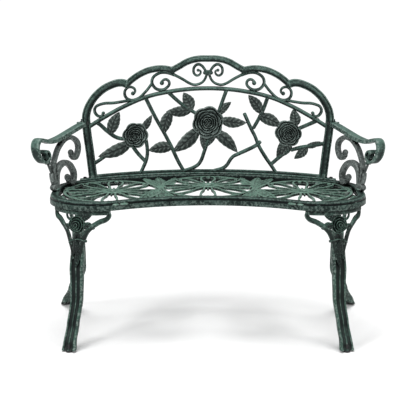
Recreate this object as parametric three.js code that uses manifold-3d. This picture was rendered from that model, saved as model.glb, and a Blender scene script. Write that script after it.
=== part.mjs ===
// Cast aluminium rose bench: kidney-shaped openwork seat, arched rose backrest,
// two scrolled arms and four cabriole legs, bolted together. Millimetres, +Z up, front faces -Y.
import * as THREE from 'three';
import { mergeVertices } from 'three/addons/utils/BufferGeometryUtils.js';
import Module from 'manifold-3d';

const wasm = await Module();
wasm.setup();

// ---------- driving dimensions ----------
const gap = 0.3; // clearance left between separate castings and fasteners
const depthCentre = 174.75; // moves the middle of the bounding box to y = 0
const seatTop = 420;
const skirtTop = 411;
const rimBottom = 395;
const rimWidth = 23;
const beadInset = 3;
const floorClear = 5; // visible height of a foot glide

const rearArc = { radius: 711, y: -656 };
const frontArc = { radius: 530, y: -848 };
const rearCorner = { x: 330, y: -178, radius: 130 };
const frontLobe = { x: 318, y: -258, radius: 140 };

const backArcRadius = 700; // plan radius of the backrest's middle surface
const backLean = 0.16; // backward run per millimetre of height
const flangeBottom = seatTop + gap;
const flangeThick = 5;
const crownHeight = 774.5;
const spotface = 0.2; // shallow flat cut for a bolt head

const boltRadius = 3;
const headRadius = 5.8;
const headHeight = 4;
const nutHeight = 5;
const washerThick = 1.2;

const backBoltX = [-376, -275, 0, 275, 376];
const armPost = { x: -385, y: -45 };
const armBase = { x: -446, y: -222 };
const armTiltOut = 35; // outward lean of the arm's front scroll
const armJoint = { x: 371, z: 592 };

// kick is the foot's outward run; shares give the part of it reached at each of legHeights
const legHeights = [0, 20, 70, 147, 210, 265, 310, 352, 381, 400];
const legFront = { centre: frontLobe, radius: 130, angle: 248.5, kickAngle: 248.5, kick: 78,
  shares: [1.02, 0.9, 0.56, 0.22, 0.03, -0.1, 0, 0.13, 0.02, 0] };
const legRear = { centre: { x: 262.2, y: -215 }, radius: 177, angle: 136.6, kickAngle: 119.6, kick: 133.5,
  shares: [1, 0.885, 0.505, 0.08, 0.03, 0.04, 0.07, 0.13, 0.02, 0] };
const legTop = rimBottom - gap;
const legScrewSpan = 58;
const legScrewInset = 14;
const legHalfSpan = 94;
const legLugThick = 5;
const armFootThick = 6;
const screwLength = 16;
const postBoltLength = 24;
const boltTail = 3; // thread that stands below a nut
const glideRadius = 9.5;
const glideStem = { radius: 4, height: 16 };

// ---------- flat-pattern helpers ----------
const vec = ([x, y]) => new THREE.Vector2(x, y);
const flip = (points) => points.map(([x, y]) => [-x, y]);
const joined = (solids) => solids.reduce((whole, next) => whole.add(next));
const cut = (solid, cutters) => cutters.reduce((rest, next) => rest.subtract(next), solid);
const radians = THREE.MathUtils.degToRad;

function toSolid(geometry) {
  geometry.deleteAttribute('normal');
  geometry.deleteAttribute('uv');
  const bare = mergeVertices(geometry, 1e-3);
  return new wasm.Manifold(new wasm.Mesh({
    numProp: 3,
    vertProperties: new Float32Array(bare.attributes.position.array),
    triVerts: new Uint32Array(bare.index.array),
  }));
}

function toGeometry(solid) {
  const { numProp, vertProperties, triVerts } = solid.getMesh();
  const corners = [];
  for (let i = 0; i < vertProperties.length; i += numProp) {
    corners.push(vertProperties[i], vertProperties[i + 1], vertProperties[i + 2]);
  }
  const geometry = new THREE.BufferGeometry();
  geometry.setAttribute('position', new THREE.Float32BufferAttribute(corners, 3));
  geometry.setIndex(Array.from(triVerts));
  return geometry;
}

// moves every vertex of a flat pattern (u, v, depth) to its place on a curved surface
function bent(solid, place) {
  const geometry = toGeometry(solid);
  const { position } = geometry.attributes;
  for (let i = 0; i < position.count; i += 1) {
    position.setXYZ(i, ...place(position.getX(i), position.getY(i), position.getZ(i)));
  }
  return geometry;
}

function mirroredX(geometry) {
  const copy = geometry.clone();
  copy.scale(-1, 1, 1);
  const order = copy.index.array;
  for (let i = 0; i < order.length; i += 3) {
    [order[i], order[i + 1]] = [order[i + 1], order[i]];
  }
  return copy;
}

function plate(outline, low, high, hole) {
  const shape = new THREE.Shape(outline.map(vec));
  if (hole) {
    shape.holes.push(new THREE.Path(hole.map(vec)));
  }
  const geometry = new THREE.ExtrudeGeometry(shape, { depth: high - low, bevelEnabled: false });
  geometry.translate(0, 0, low);
  return toSolid(geometry);
}

// width at share t of a bar whose listed widths are spread evenly over its length
function widthAt(widths, t) {
  const place = t * (widths.length - 1);
  const slot = Math.min(Math.floor(place), widths.length - 2);
  return THREE.MathUtils.lerp(widths[slot], widths[slot + 1], place - slot);
}

// a flat bar that follows a smooth curve: a segmented box wrapped round it
function strip(points, widths, low, high, perSpan = 2) {
  const curve = new THREE.SplineCurve(points.map(vec));
  const segments = (points.length - 1) * perSpan;
  const geometry = new THREE.BoxGeometry(1, 1, high - low, segments, 1, 1);
  geometry.translate(0.5, 0, (low + high) / 2);
  const { position } = geometry.attributes;
  for (let i = 0; i < position.count; i += 1) {
    const t = position.getX(i);
    const centre = curve.getPoint(t);
    const along = curve.getTangent(t);
    const side = position.getY(i) * widthAt(widths, t);
    position.setXY(i, centre.x - along.y * side, centre.y + along.x * side);
  }
  return toSolid(geometry);
}

// a six-sided tube whose centre line lies in the flat pattern's own plane
function tube(points, halfWidth, halfDepth, steps) {
  const path = new THREE.CatmullRomCurve3(points.map(([x, y]) => new THREE.Vector3(x, y, 0)));
  const section = ring(0, 0, 1.06, 6).map(([x, y]) => [x * halfDepth, y * halfWidth]);
  const shape = new THREE.Shape(section.map(vec));
  return toSolid(new THREE.ExtrudeGeometry(shape, { steps, extrudePath: path }));
}

function ring(x, y, radius, count) {
  return Array.from({ length: count }, (_, i) => {
    const turn = (2 * Math.PI * (i + 0.5)) / count;
    return [x + radius * Math.cos(turn), y + radius * Math.sin(turn)];
  });
}

function oval(x, y, a, b, count) {
  return ring(0, 0, 1, count).map(([u, v]) => [x + a * u, y + b * v]);
}

function disc(x, y, radius, low, high, count = 10) {
  return plate(ring(x, y, radius, count), low, high);
}

// leaf blade from its stalk to its tip
function leaf([x0, y0], [x1, y1], width, low, high) {
  const length = Math.hypot(x1 - x0, y1 - y0);
  const [ux, uy] = [(x1 - x0) / length, (y1 - y0) / length];
  const at = (t, side) => [
    x0 + ux * length * t - uy * side * width, y0 + uy * length * t + ux * side * width];
  const bulge = [[0.22, 0.42], [0.5, 0.5], [0.8, 0.27]];
  const outline = [at(-0.06, 0), ...bulge.map(([t, s]) => at(t, -s)), at(1, 0),
    ...bulge.toReversed().map(([t, s]) => at(t, s))];
  return plate(outline, low, high);
}

// full-blown rose: one turned profile whose radius waves into petals
function rose(x, y, radius, low) {
  const rings = [[0, 0], [0.96, 0], [1, 6], [0.7, 9], [0.4, 11], [0, 13]];
  const profile = rings.map(([r, h]) => new THREE.Vector2(r * radius, h));
  const geometry = new THREE.LatheGeometry(profile, 12);
  geometry.rotateX(Math.PI / 2);
  const position = geometry.attributes.position;
  for (let i = 0; i < position.count; i += 1) {
    const [px, py, pz] = [position.getX(i), position.getY(i), -position.getZ(i)];
    const wave = 1 + 0.05 * Math.cos(4 * Math.atan2(py, px) + pz * 0.4);
    position.setXYZ(i, x + px * wave, y + py * wave, position.getZ(i));
  }
  return faceOut(geometry, low);
}

// stands a turned form on the pattern plane with its open side up
function faceOut(geometry, low) {
  geometry.computeBoundingBox();
  geometry.translate(0, 0, low - geometry.boundingBox.min.z);
  return toSolid(geometry);
}

function rod(radius, low, high, sides = 12) {
  const geometry = new THREE.CylinderGeometry(radius, radius, high - low, sides);
  geometry.rotateX(Math.PI / 2);
  geometry.translate(0, 0, (low + high) / 2);
  return geometry;
}

function post(x, y, radius, low, high, sides) {
  const geometry = rod(radius, low, high, sides);
  geometry.translate(x, y, 0);
  return toSolid(geometry);
}

// ---------- shared positions ----------
function arcPoints(cx, cy, radius, from, to, count) {
  return Array.from({ length: count }, (_, i) => {
    const turn = radians(THREE.MathUtils.lerp(from, to, i / (count - 1)));
    return [cx + radius * Math.cos(turn), cy + radius * Math.sin(turn)];
  });
}

// kidney outline of the seat, anticlockwise, moved inwards by inset
function seatOutline(inset) {
  const rear = rearArc.radius - inset;
  const front = frontArc.radius + inset;
  const lobe = frontLobe.radius - inset;
  const corner = rearCorner.radius - inset;
  const right = [
    ...arcPoints(0, frontArc.y, front, 90, 62, 7).slice(1, -1),
    ...arcPoints(frontLobe.x, frontLobe.y, lobe, 242, 360, 9),
    ...arcPoints(rearCorner.x, rearCorner.y, corner, 0, 54, 5),
    ...arcPoints(0, rearArc.y, rear, 55.5, 90, 9).slice(1, -1),
  ];
  return [[0, frontArc.y + front], ...right, [0, rearArc.y + rear], ...flip(right).reverse()];
}

const backArcY = rearArc.y; // the backrest shares its plan centre with the seat's rear edge
const backY = (x, z) => backArcY + Math.sqrt(backArcRadius ** 2 - x ** 2)
  + backLean * (z - flangeBottom);
const backPlace = (x, z, depth) => [x, backY(x, z) - depth, z];
const backBoltAt = (x) => [x, backY(x, flangeBottom)];

// the bracket faces along angle, the foot runs out along kickAngle
function legFrame(leg, side) {
  const [angle, kickAngle] = [leg.angle, leg.kickAngle].map((turn) => radians(side < 0 ? turn : 180 - turn));
  return { ...leg, x: side * leg.centre.x, y: leg.centre.y, angle, kickAngle };
}

// cabriole side profile: outward run at a height, bulging at the knee
function kickAt({ kick, shares }, z) {
  const i = Math.max(1, legHeights.findIndex((height) => height >= z));
  const t = (z - legHeights[i - 1]) / (legHeights[i] - legHeights[i - 1]);
  return kick * THREE.MathUtils.lerp(shares[i - 1], shares[i], t * t * (3 - 2 * t) * 0.5 + t * 0.5);
}

function legPlace(frame) {
  return (s, z, depth) => {
    const turn = frame.angle + s / frame.radius;
    const out = kickAt(frame, z);
    return [
      frame.x + (frame.radius + depth) * Math.cos(turn) + out * Math.cos(frame.kickAngle),
      frame.y + (frame.radius + depth) * Math.sin(turn) + out * Math.sin(frame.kickAngle),
      z];
  };
}

function legScrewAt(frame, side) {
  const turn = frame.angle + (side * legScrewSpan) / frame.radius;
  const reach = frame.radius - legScrewInset;
  return [frame.x + reach * Math.cos(turn), frame.y + reach * Math.sin(turn)];
}

const legs = [
  { name: 'front_left', frame: legFrame(legFront, -1), side: 1 },
  { name: 'front_right', frame: legFrame(legFront, 1), side: -1 },
  { name: 'rear_left', frame: legFrame(legRear, -1), side: -1 },
  { name: 'rear_right', frame: legFrame(legRear, 1), side: 1 },
];

// ---------- seat ----------
const motifBase = 407;
const motifTop = 415;
const motifs = [
  { x: 0, y: -116, ovalY: -131, a: 143, b: 158 },
  { x: -281, y: -204, ovalY: -203, a: 145, b: 158 },
  { x: 281, y: -204, ovalY: -203, a: 145, b: 158 },
];

// one petal: a teardrop loop from the hub to the oval band
function petal(motif, degrees) {
  const turn = radians(degrees);
  const [ux, uy] = [Math.cos(turn), Math.sin(turn)];
  const reach = 1 / Math.hypot(ux / motif.a, uy / motif.b) - 3;
  const at = (t, side) => [
    motif.x + ux * reach * t - uy * side, motif.y * (1 - t) + motif.ovalY * t + uy * reach * t + ux * side];
  const loop = (inset) => [
    at(0.14 + inset * 0.02, 0), at(0.7, inset * 1.1 - 24), at(0.99 - inset * 0.012, inset - 14),
    at(0.99 - inset * 0.012, 14 - inset), at(0.7, 24 - inset * 1.1)];
  return plate(loop(0), motifBase, motifTop, loop(6).reverse());
}

function motifSolid(motif) {
  const band = plate(oval(motif.x, motif.ovalY, motif.a, motif.b, 24), motifBase, motifTop,
    oval(motif.x, motif.ovalY, motif.a - 9, motif.b - 9, 24).reverse());
  const hub = plate(oval(motif.x, motif.y, 36, 30, 10), motifBase, motifTop,
    oval(motif.x, motif.y, 15, 9, 6).reverse());
  const petals = [0, 52, 90, 128, 180, 222, 270, 318].map((turn) => petal(motif, turn));
  return joined([band, hub, ...petals]);
}

// leaf sprays that fill the corners between the ovals and the rim
function sprays() {
  const right = [
    [[141, -118], [100, 22], 44], [[143, -112], [160, 20], 46], [[146, -118], [206, 8], 40],
    [[141, -160], [86, -312], 40], [[141, -160], [136, -326], 44], [[145, -160], [196, -346], 42],
    [[402, -110], [372, -44], 44], [[420, -150], [412, -78], 36], [[424, -270], [410, -352], 40],
    [[396, -330], [352, -384], 36],
  ];
  return [...right, ...right.map(([base, tip, width]) => [...flip([base, tip]), width])]
    .map(([base, tip, width]) => leaf(base, tip, width, motifBase, motifTop));
}

function frontScallops() {
  const places = [[-12, -296], [12, -296], [-262, -374], [-238, -368], [262, -374], [238, -368]];
  return places.map(([x, y]) => disc(x, y, 14, motifBase, motifTop, 7));
}

function seatGeometry() {
  const skirt = plate(seatOutline(0), rimBottom, skirtTop, seatOutline(rimWidth).reverse());
  const bead = plate(seatOutline(beadInset), skirtTop - 1, seatTop,
    seatOutline(rimWidth + 2).reverse());
  const bosses = legs.flatMap(({ frame }) => [-1, 1].flatMap((side) => {
    const [x, y] = legScrewAt(frame, side);
    const [outX, outY] = [(x - frame.x) * 1.15 + frame.x, (y - frame.y) * 1.15 + frame.y];
    return [post(x, y, 12, rimBottom, motifTop, 10),
      strip([[x, y], [outX, outY]], [20, 20], rimBottom, motifTop, 1)];
  }));
  const bores = legs.flatMap(({ frame }) => [-1, 1].map((side) => {
    const [x, y] = legScrewAt(frame, side);
    return post(x, y, boltRadius + gap, rimBottom - 1, motifBase, 8);
  }));
  const through = [...backBoltX.map(backBoltAt), [armBase.x, armBase.y], [-armBase.x, armBase.y]]
    .map(([x, y]) => post(x, y, boltRadius + gap, rimBottom - 1, seatTop + 1, 8));
  const openwork = [...motifs.map(motifSolid), ...sprays(), ...frontScallops()];
  return toGeometry(cut(joined([skirt, bead, ...bosses, ...openwork]), [...bores, ...through]));
}

// ---------- backrest ----------
const valleyOuter = [251, 701];
const valleyInner = [112, 740];

function backFrame() {
  const right = [
    tube([[352, 421], [361, 500], [371, 586], [371, 618], [360, 648], [334, 680], [300, 700],
      [268, 706], valleyOuter], 12, 10, 18),
    tube([valleyOuter, [232, 717], [203, 734], [170, 744], [138, 745], valleyInner], 10, 9.5, 9),
  ];
  const left = [
    tube([[-352, 421], [-361, 500], [-371, 586], [-371, 618], [-360, 648], [-334, 680],
      [-300, 700], [-268, 706], flip([valleyOuter])[0]], 12, 10, 18),
    tube(flip([valleyOuter, [232, 717], [203, 734], [170, 744], [138, 745], valleyInner]),
      10, 9.5, 9),
  ];
  const crown = tube([flip([valleyInner])[0], [-92, 750.5], [-63, 766], [-33, crownHeight - 1],
    [0, crownHeight], [33, crownHeight - 1], [63, 766], [92, 750.5], valleyInner], 10, 9.5, 12);
  const knots = [valleyOuter, valleyInner].flatMap((place) => [place, ...flip([place])])
    .map(([x, z]) => disc(x, z, 10.5, -9, 9, 8));
  return [...right, ...left, crown, ...knots];
}

function backRails() {
  const arch = [[-362, 580], [-310, 609], [-252, 637], [-190, 660], [-120, 674], [-55, 681],
    [0, 683], [55, 681], [120, 674], [190, 660], [252, 637], [310, 609], [362, 580]];
  const middle = flangeBottom + flangeThick / 2;
  const flange = strip([[-390, middle], [0, middle], [390, middle]], [flangeThick, flangeThick],
    -11, 11, 6);
  const sill = strip([[-356, 427], [0, 427], [356, 427]], [12, 12], -4, 4, 6);
  return [tube(arch, 6.5, 7, 22), flange, sill];
}

// scrollwork between the arch and the lobed frame, right half
function backScrolls() {
  const strands = [
    [[[30, 739], [23.5, 736], [25, 727], [33, 722.5], [42, 727], [45.5, 738], [42, 750], [31, 757],
      [20, 753], [12, 744], [6, 734]], [6, 7, 8, 8, 8]],
    [[[4, 726], [10, 711], [19, 701], [30, 696], [42, 694], [56, 698], [80, 712], [108, 727]],
      [8, 8, 8, 9]],
    [[[104, 724], [134, 733], [158, 729], [174, 712], [170, 692], [150, 680], [128, 687],
      [121, 702], [133, 712], [146, 704]], [9, 9, 9, 8, 7]],
    [[[175, 700], [196, 674], [222, 654], [246, 654], [258, 670], [252, 688], [236, 691],
      [226, 679], [233, 669]], [9, 9, 9, 8, 7]],
    [[[238, 652], [288, 646], [330, 644], [346, 634], [343, 615], [329, 608], [321, 618]],
      [9, 9, 9, 7]],
  ];
  const knobs = [[31, 739, 5], [144, 701, 7], [233, 672, 6.5]];
  const depthOf = (i) => 5 + i / 4;
  return [
    ...strands.map(([points, widths], i) => strip(points, widths, -depthOf(i), depthOf(i))),
    ...strands.map(([points, widths], i) => strip(flip(points), widths, -depthOf(i), depthOf(i))),
    ...knobs.flatMap(([x, z, r]) => [disc(x, z, r, -6, 6, 8), disc(-x, z, r, -6, 6, 8)]),
    plate(oval(0, 731, 14, 9.5, 10), -6.8, 6.8),
  ];
}

const stems = [
  [[-194, 656], [-164, 595], [-134, 541], [-115, 504], [-93, 457], [-76, 428]],
  [[-76, 428], [-40, 441], [-26, 453], [-12, 487], [4, 534]],
  [[-122, 670], [-79, 632], [-40, 607]],
  [[58, 678], [44, 640], [32, 606]],
  [[20, 428], [53, 440], [78, 472], [95, 481], [122, 494], [150, 509], [164, 521]],
  [[114, 606], [136, 558], [147, 537], [158, 510], [177, 478], [199, 447], [212, 428]],
  [[186, 659], [169, 612], [142, 562]],
  [[340, 598], [310, 582], [276, 565]],
  [[356, 528], [321, 518], [287, 510], [258, 500]],
  [[250, 500], [222, 476], [197, 453]],
  [[-344, 592], [-332, 583], [-311, 562], [-280, 539], [-250, 533]],
  [[-240, 520], [-222, 492], [-196, 462]],
  [[-198, 544], [-190, 505], [-191, 473], [-202, 444], [-210, 428]],
  [[-358, 462], [-336, 474], [-308, 492]],
];

const roses = [[0, 578, 47], [249, 551, 38], [-226, 543, 37]];

const leaves = [
  [[-52, 616], [-77, 671], 35], [[-50, 620], [-132, 612], 32], [[-118, 612], [-140, 542], 34],
  [[-30, 558], [-110, 488], 40], [[-112, 503], [-186, 495], 34], [[-20, 542], [-12, 490], 21],
  [[24, 540], [-8, 500], 20], [[20, 550], [93, 486], 35], [[40, 586], [121, 578], 32],
  [[32, 602], [73, 642], 24], [[166, 610], [126, 664], 32], [[160, 600], [229, 571], 35],
  [[270, 574], [264, 626], 32], [[306, 515], [267, 474], 25], [[303, 514], [346, 533], 18],
  [[232, 526], [214, 474], 21], [[256, 523], [225, 477], 33], [[-300, 554], [-274, 618], 34],
  [[-210, 556], [-175, 604], 22], [[-240, 522], [-338, 486], 37],
];

function backGeometry() {
  const pieces = [
    ...backFrame(), ...backRails(), ...backScrolls(),
    ...stems.map((points, i) => strip(points, [12, 11, 11], -5 - (i % 3) / 4, 5, 1)),
    ...leaves.map(([base, tip, width]) => leaf(base, tip, width, -4, 4)),
    ...roses.map(([x, z, radius]) => rose(x, z, radius, -6)),
  ];
  const body = joined(pieces.map((piece) => toSolid(bent(piece, backPlace))));
  const bores = backBoltX.map((x) => post(...backBoltAt(x), boltRadius + gap,
    flangeBottom - 1, flangeBottom + 20, 8));
  const seats = backBoltX.map((x) => post(...backBoltAt(x), headRadius + 2,
    flangeBottom + flangeThick - spotface, flangeBottom + 20, 8));
  const pockets = [-1, 1].flatMap((side) => [
    toSolid(atJoint(crossRod(boltRadius + gap, -30, 30, 8), side)),
    toSolid(atJoint(crossRod(headRadius + 1, -30, -6, 10), side)),
    toSolid(atJoint(slab(-16, 16, 7 - gap, 30, -14, 14), side)),
  ]);
  const below = toSolid(slab(-400, 400, -200, 100, flangeBottom - 30, flangeBottom));
  return toGeometry(cut(body, [...bores, ...seats, ...pockets, below]));
}

// ---------- arm joint at the back post ----------
const armJointY = backY(armJoint.x, armJoint.z);
const jointTurn = Math.asin(armJoint.x / backArcRadius); // the post faces the middle of the seat

function slab(x0, x1, y0, y1, z0, z1) {
  const geometry = new THREE.BoxGeometry(x1 - x0, y1 - y0, z1 - z0);
  geometry.translate((x0 + x1) / 2, (y0 + y1) / 2, (z0 + z1) / 2);
  return geometry;
}

// a rod along y, which at a joint is the line from the post's face to its back
function crossRod(radius, from, to, sides) {
  const geometry = new THREE.CylinderGeometry(radius, radius, to - from, sides);
  geometry.translate(0, (from + to) / 2, 0);
  return geometry;
}

function atJoint(geometry, side) {
  geometry.rotateZ(-side * jointTurn);
  geometry.translate(side * armJoint.x, armJointY, armJoint.z);
  return geometry;
}

// ---------- arms ----------
const armRun = Math.hypot(armBase.x - armPost.x, armBase.y - armPost.y);
const armAlong = [(armBase.x - armPost.x) / armRun, (armBase.y - armPost.y) / armRun];

// s runs forward from the post, depth points away from the seat
function armPlace(s, z, depth) {
  const lean = armTiltOut * (Math.max(s, 0) / 232) * ((z - seatTop) / 155);
  const out = depth + lean;
  return [
    armPost.x + s * armAlong[0] + out * armAlong[1],
    armPost.y + s * armAlong[1] - out * armAlong[0],
    z];
}

function armGeometry() {
  const railTop = [[-14, 590], [24, 583], [78, 572], [137, 562], [180, 561], [204, 568],
    [226, 572], [242, 562], [249, 542], [243, 520], [225, 508], [206, 513], [198, 527],
    [206, 538], [218, 533]];
  const rail = strip(railTop, [13, 12, 11, 9, 8, 7, 7], -13, 13);
  const upper = strip([[186, 440], [181, 481], [160, 511], [124, 543], [80, 558], [40, 548],
    [25, 526], [34, 502], [52, 494], [68, 504]], [10, 11, 12, 15, 16, 14], -7.5, 7.5);
  const lower = strip([[180, 424], [172, 450], [158, 474], [132, 487], [100, 486], [72, 466],
    [62, 442], [74, 426], [96, 430]], [14, 16, 18, 19, 16], -8.5, 8.5);
  const budStem = strip([[186, 455], [196, 480], [206, 512]], [7, 7], -4, 4);
  const bract = strip([[184, 428], [196, 448], [193, 470]], [16, 12, 5], -6, 8);
  const knobs = [disc(68, 512, 10, -7.5, 7.5), disc(102, 442, 11, -8.5, 8.5)];
  const bud = strip([[203, 508], [206, 520], [207, 536]], [8, 17, 5], -9, 9);
  const heel = strip([[170, 428], [187, 432], [204, 428]], [16, 20, 16], -9, 9, 2);
  const body = toSolid(bent(joined([rail, upper, lower, budStem, bract, ...knobs, bud, heel]),
    armPlace));
  const foot = toSolid(slab(armBase.x - 11, armBase.x + 11, armBase.y - 15, armBase.y + 15,
    seatTop + gap, seatTop + armFootThick));
  const lug = toSolid(atJoint(slab(-14, 13, 7, 12, -12, 11), -1));
  const tongue = toSolid(atJoint(slab(-26, -13, 7.4, 11.6, -11, 3), -1));
  const neck = toSolid(atJoint(slab(-28, -17, -8, 12, -10, 4), -1));
  const holes = [
    post(armBase.x, armBase.y, boltRadius + gap, seatTop - 1, seatTop + 7, 8),
    post(armBase.x, armBase.y, headRadius + 1.5, seatTop + armFootThick, seatTop + 13, 10),
    toSolid(atJoint(crossRod(boltRadius + gap, -20, 20, 8), -1)),
    toSolid(atJoint(slab(-17, 60, -60, 7 - gap, -40, 40), -1)),
    toSolid(slab(-520, -350, -320, 0, seatTop - 40, seatTop + gap)),
  ];
  return toGeometry(cut(joined([body, foot, lug, tongue, neck]), holes));
}

// ---------- legs ----------
// patterns are drawn for the front left leg, whose outer side is negative
const outerWing = [[-87, 391], [-87, 376], [-58, 362], [-38, 341], [-31, 314], [-26, 283], [-22, 252]];
const innerWing = [[87, 391], [90, 376], [63, 362], [34, 341], [17, 314], [6, 283], [0, 252]];
const column = [[-8, 304], [-11, 262], [-11, 222], [-7, 184], [-3, 147], [-2, 108], [-3, 69],
  [-2, 36], [0, floorClear]];
const columnWidths = [36, 44, 45, 42, 39, 37, 37, 38, 44];

function legGeometry({ frame, side }) {
  const faced = (points) => points.map(([s, z]) => [s * side, z]);
  const pieces = [
    strip([[-legHalfSpan, legTop - 6.5], [0, legTop - 6.5], [legHalfSpan, legTop - 6.5]],
      [13, 13], -5, 4, 5),
    strip(faced(outerWing), [12, 13, 13, 12], -4.6, 3.6, 1),
    strip(faced(innerWing), [12, 13, 13, 12], -4.4, 3.8, 1),
    strip(faced(column), columnWidths, -15, 3, 1),
    strip(faced([[-7, 304], [-10, 262], [-11, 222]]), [22, 26, 8], -6, 6, 1),
    rose(0, 354, 24, -4),
    strip(faced([[0, 335], [-3, 318], [-6, 296]]), [26, 34], -4.2, 2.6, 1),
    strip(faced([[-30, 300], [-12, 309], [4, 311], [22, 306]]), [7, 7], -3.6, 4.4, 1),
    leaf([18 * side, 354], [50 * side, 346], 22, -3.2, 2),
    leaf([10 * side, 368], [42 * side, 384], 18, -3, 2.2),
    strip(faced([[-16, 366], [-32, 372], [-36, 384]]), [6, 6], -2.8, 1.8, 1),
    leaf([-18 * side, 346], [-40 * side, 351], 16, -2.6, 2.4),
  ];
  const body = joined(pieces.map((piece) => toSolid(bent(piece, legPlace(frame)))));
  const screwPlaces = [-1, 1].map((end) => legScrewAt(frame, end));
  const lugs = screwPlaces.map(([x, y]) => post(x, y, 10, legTop - legLugThick, legTop, 10));
  const bores = screwPlaces.map(([x, y]) => post(x, y, boltRadius + gap, legTop - 8, legTop + 1, 8));
  const [gx, gy] = glideAt(frame);
  const socket = post(gx, gy, glideStem.radius + gap, 0, floorClear + glideStem.height + gap, 10);
  const trim = toSolid(slab(gx - 80, gx + 80, gy - 80, gy + 80, -20, floorClear));
  return toGeometry(cut(joined([body, ...lugs]), [...bores, socket, trim]));
}

// ---------- glides and fasteners ----------
function glideAt(frame) {
  const [x, y] = legPlace(frame)(0, floorClear, -6);
  return [x, y];
}

function glideGeometry() {
  const stemTop = floorClear + glideStem.height;
  const profile = [[0, 0], [glideRadius - 1.5, 0], [glideRadius, 1.5],
    [glideRadius, floorClear - gap], [glideStem.radius, floorClear - gap],
    [glideStem.radius, stemTop], [0, stemTop]];
  const geometry = new THREE.LatheGeometry(profile.map(vec), 12);
  geometry.rotateX(Math.PI / 2);
  return geometry;
}

// hexagon head on a round shank; the shank points down from z = 0
function boltGeometry(length) {
  const head = toSolid(rod(headRadius, 0, headHeight, 6));
  return toGeometry(head.add(toSolid(rod(boltRadius, -length, 1, 8))));
}

function nutGeometry(height) {
  const body = toSolid(rod(headRadius, 0, height, 6));
  return toGeometry(body.subtract(toSolid(rod(boltRadius + gap, -1, height + 1, 8))));
}

function washerGeometry() {
  const body = toSolid(rod(headRadius + 1.2, 0, washerThick, 12));
  return toGeometry(body.subtract(toSolid(rod(boltRadius + gap, -1, washerThick + 1, 8))));
}

// ---------- materials ----------
const castGreen = () => new THREE.MeshStandardMaterial({
  color: 0x2c4a40, roughness: 0.5, metalness: 0.55 });
const darkSteel = () => new THREE.MeshStandardMaterial({
  color: 0x22282a, roughness: 0.4, metalness: 0.8 });
const blackPlastic = () => new THREE.MeshStandardMaterial({
  color: 0x151718, roughness: 0.7, metalness: 0 });

// ---------- assembly ----------
const bench = new THREE.Group();

function addPart(name, geometry, material, [x, y, z] = [0, 0, 0]) {
  const clean = geometry.index ? geometry : mergeVertices(geometry);
  clean.computeVertexNormals();
  const mesh = new THREE.Mesh(clean, material);
  mesh.name = name;
  mesh.position.set(x, y, z);
  bench.add(mesh);
  return mesh;
}

addPart('seat', seatGeometry(), castGreen());
addPart('backrest', backGeometry(), castGreen());
const leftArm = armGeometry();
addPart('arm_left', leftArm, castGreen());
addPart('arm_right', mirroredX(leftArm), castGreen());

legs.forEach((leg) => {
  addPart(`leg_${leg.name}`, legGeometry(leg), castGreen());
  const [gx, gy] = glideAt(leg.frame);
  addPart(`glide_${leg.name}`, glideGeometry(), blackPlastic(), [gx, gy, 0]);
  [-1, 1].forEach((end, i) => {
    const [x, y] = legScrewAt(leg.frame, end);
    const under = legTop - legLugThick - gap;
    const washer = washerGeometry();
    addPart(`washer_${leg.name}_${i + 1}`, washer, darkSteel(), [x, y, under - washerThick]);
    const screw = boltGeometry(screwLength);
    const mesh = addPart(`screw_${leg.name}_${i + 1}`, screw, darkSteel(),
      [x, y, under - washerThick - gap]);
    mesh.rotation.x = Math.PI;
  });
});

const boltReach = seatTop - rimBottom + nutHeight + boltTail;
backBoltX.forEach((place, i) => {
  const [x, y] = backBoltAt(place);
  const top = flangeBottom + flangeThick + gap;
  addPart(`back_bolt_${i + 1}`, boltGeometry(flangeThick + boltReach), darkSteel(), [x, y, top]);
  addPart(`back_nut_${i + 1}`, nutGeometry(nutHeight), darkSteel(), [x, y, rimBottom - gap - nutHeight]);
});

[['left', -1], ['right', 1]].forEach(([side, sign]) => {
  const x = -sign * armBase.x;
  addPart(`arm_seat_bolt_${side}`, boltGeometry(armFootThick + boltReach),
    darkSteel(), [x, armBase.y, seatTop + armFootThick + gap]);
  addPart(`arm_seat_nut_${side}`, nutGeometry(nutHeight), darkSteel(),
    [x, armBase.y, rimBottom - gap - nutHeight]);
  const bolt = boltGeometry(postBoltLength).rotateX(Math.PI / 2).translate(0, -6 - gap, 0);
  addPart(`arm_post_bolt_${side}`, atJoint(bolt, sign), darkSteel());
  const nut = nutGeometry(nutHeight).rotateX(-Math.PI / 2).translate(0, 12 + gap, 0);
  addPart(`arm_post_nut_${side}`, atJoint(nut, sign), darkSteel());
});

bench.position.y = depthCentre;

export default bench;
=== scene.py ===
import math

import bpy
import numpy as np
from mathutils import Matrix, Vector


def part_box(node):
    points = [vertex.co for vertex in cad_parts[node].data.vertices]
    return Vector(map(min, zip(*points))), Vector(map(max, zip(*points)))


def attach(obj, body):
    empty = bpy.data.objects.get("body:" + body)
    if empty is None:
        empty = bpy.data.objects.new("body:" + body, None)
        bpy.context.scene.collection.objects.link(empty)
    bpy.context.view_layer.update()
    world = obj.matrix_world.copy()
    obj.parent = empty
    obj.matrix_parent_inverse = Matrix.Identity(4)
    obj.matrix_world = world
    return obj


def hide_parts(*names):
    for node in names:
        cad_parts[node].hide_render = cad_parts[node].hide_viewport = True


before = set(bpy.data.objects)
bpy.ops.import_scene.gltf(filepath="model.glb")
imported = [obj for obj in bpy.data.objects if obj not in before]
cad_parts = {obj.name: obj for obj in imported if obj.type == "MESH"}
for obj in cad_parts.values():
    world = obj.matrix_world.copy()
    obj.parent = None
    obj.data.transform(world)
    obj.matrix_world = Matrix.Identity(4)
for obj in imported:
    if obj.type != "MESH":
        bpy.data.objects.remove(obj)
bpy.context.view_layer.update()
bpy.ops.object.select_all(action="DESELECT")
print("frame loaded")

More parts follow.
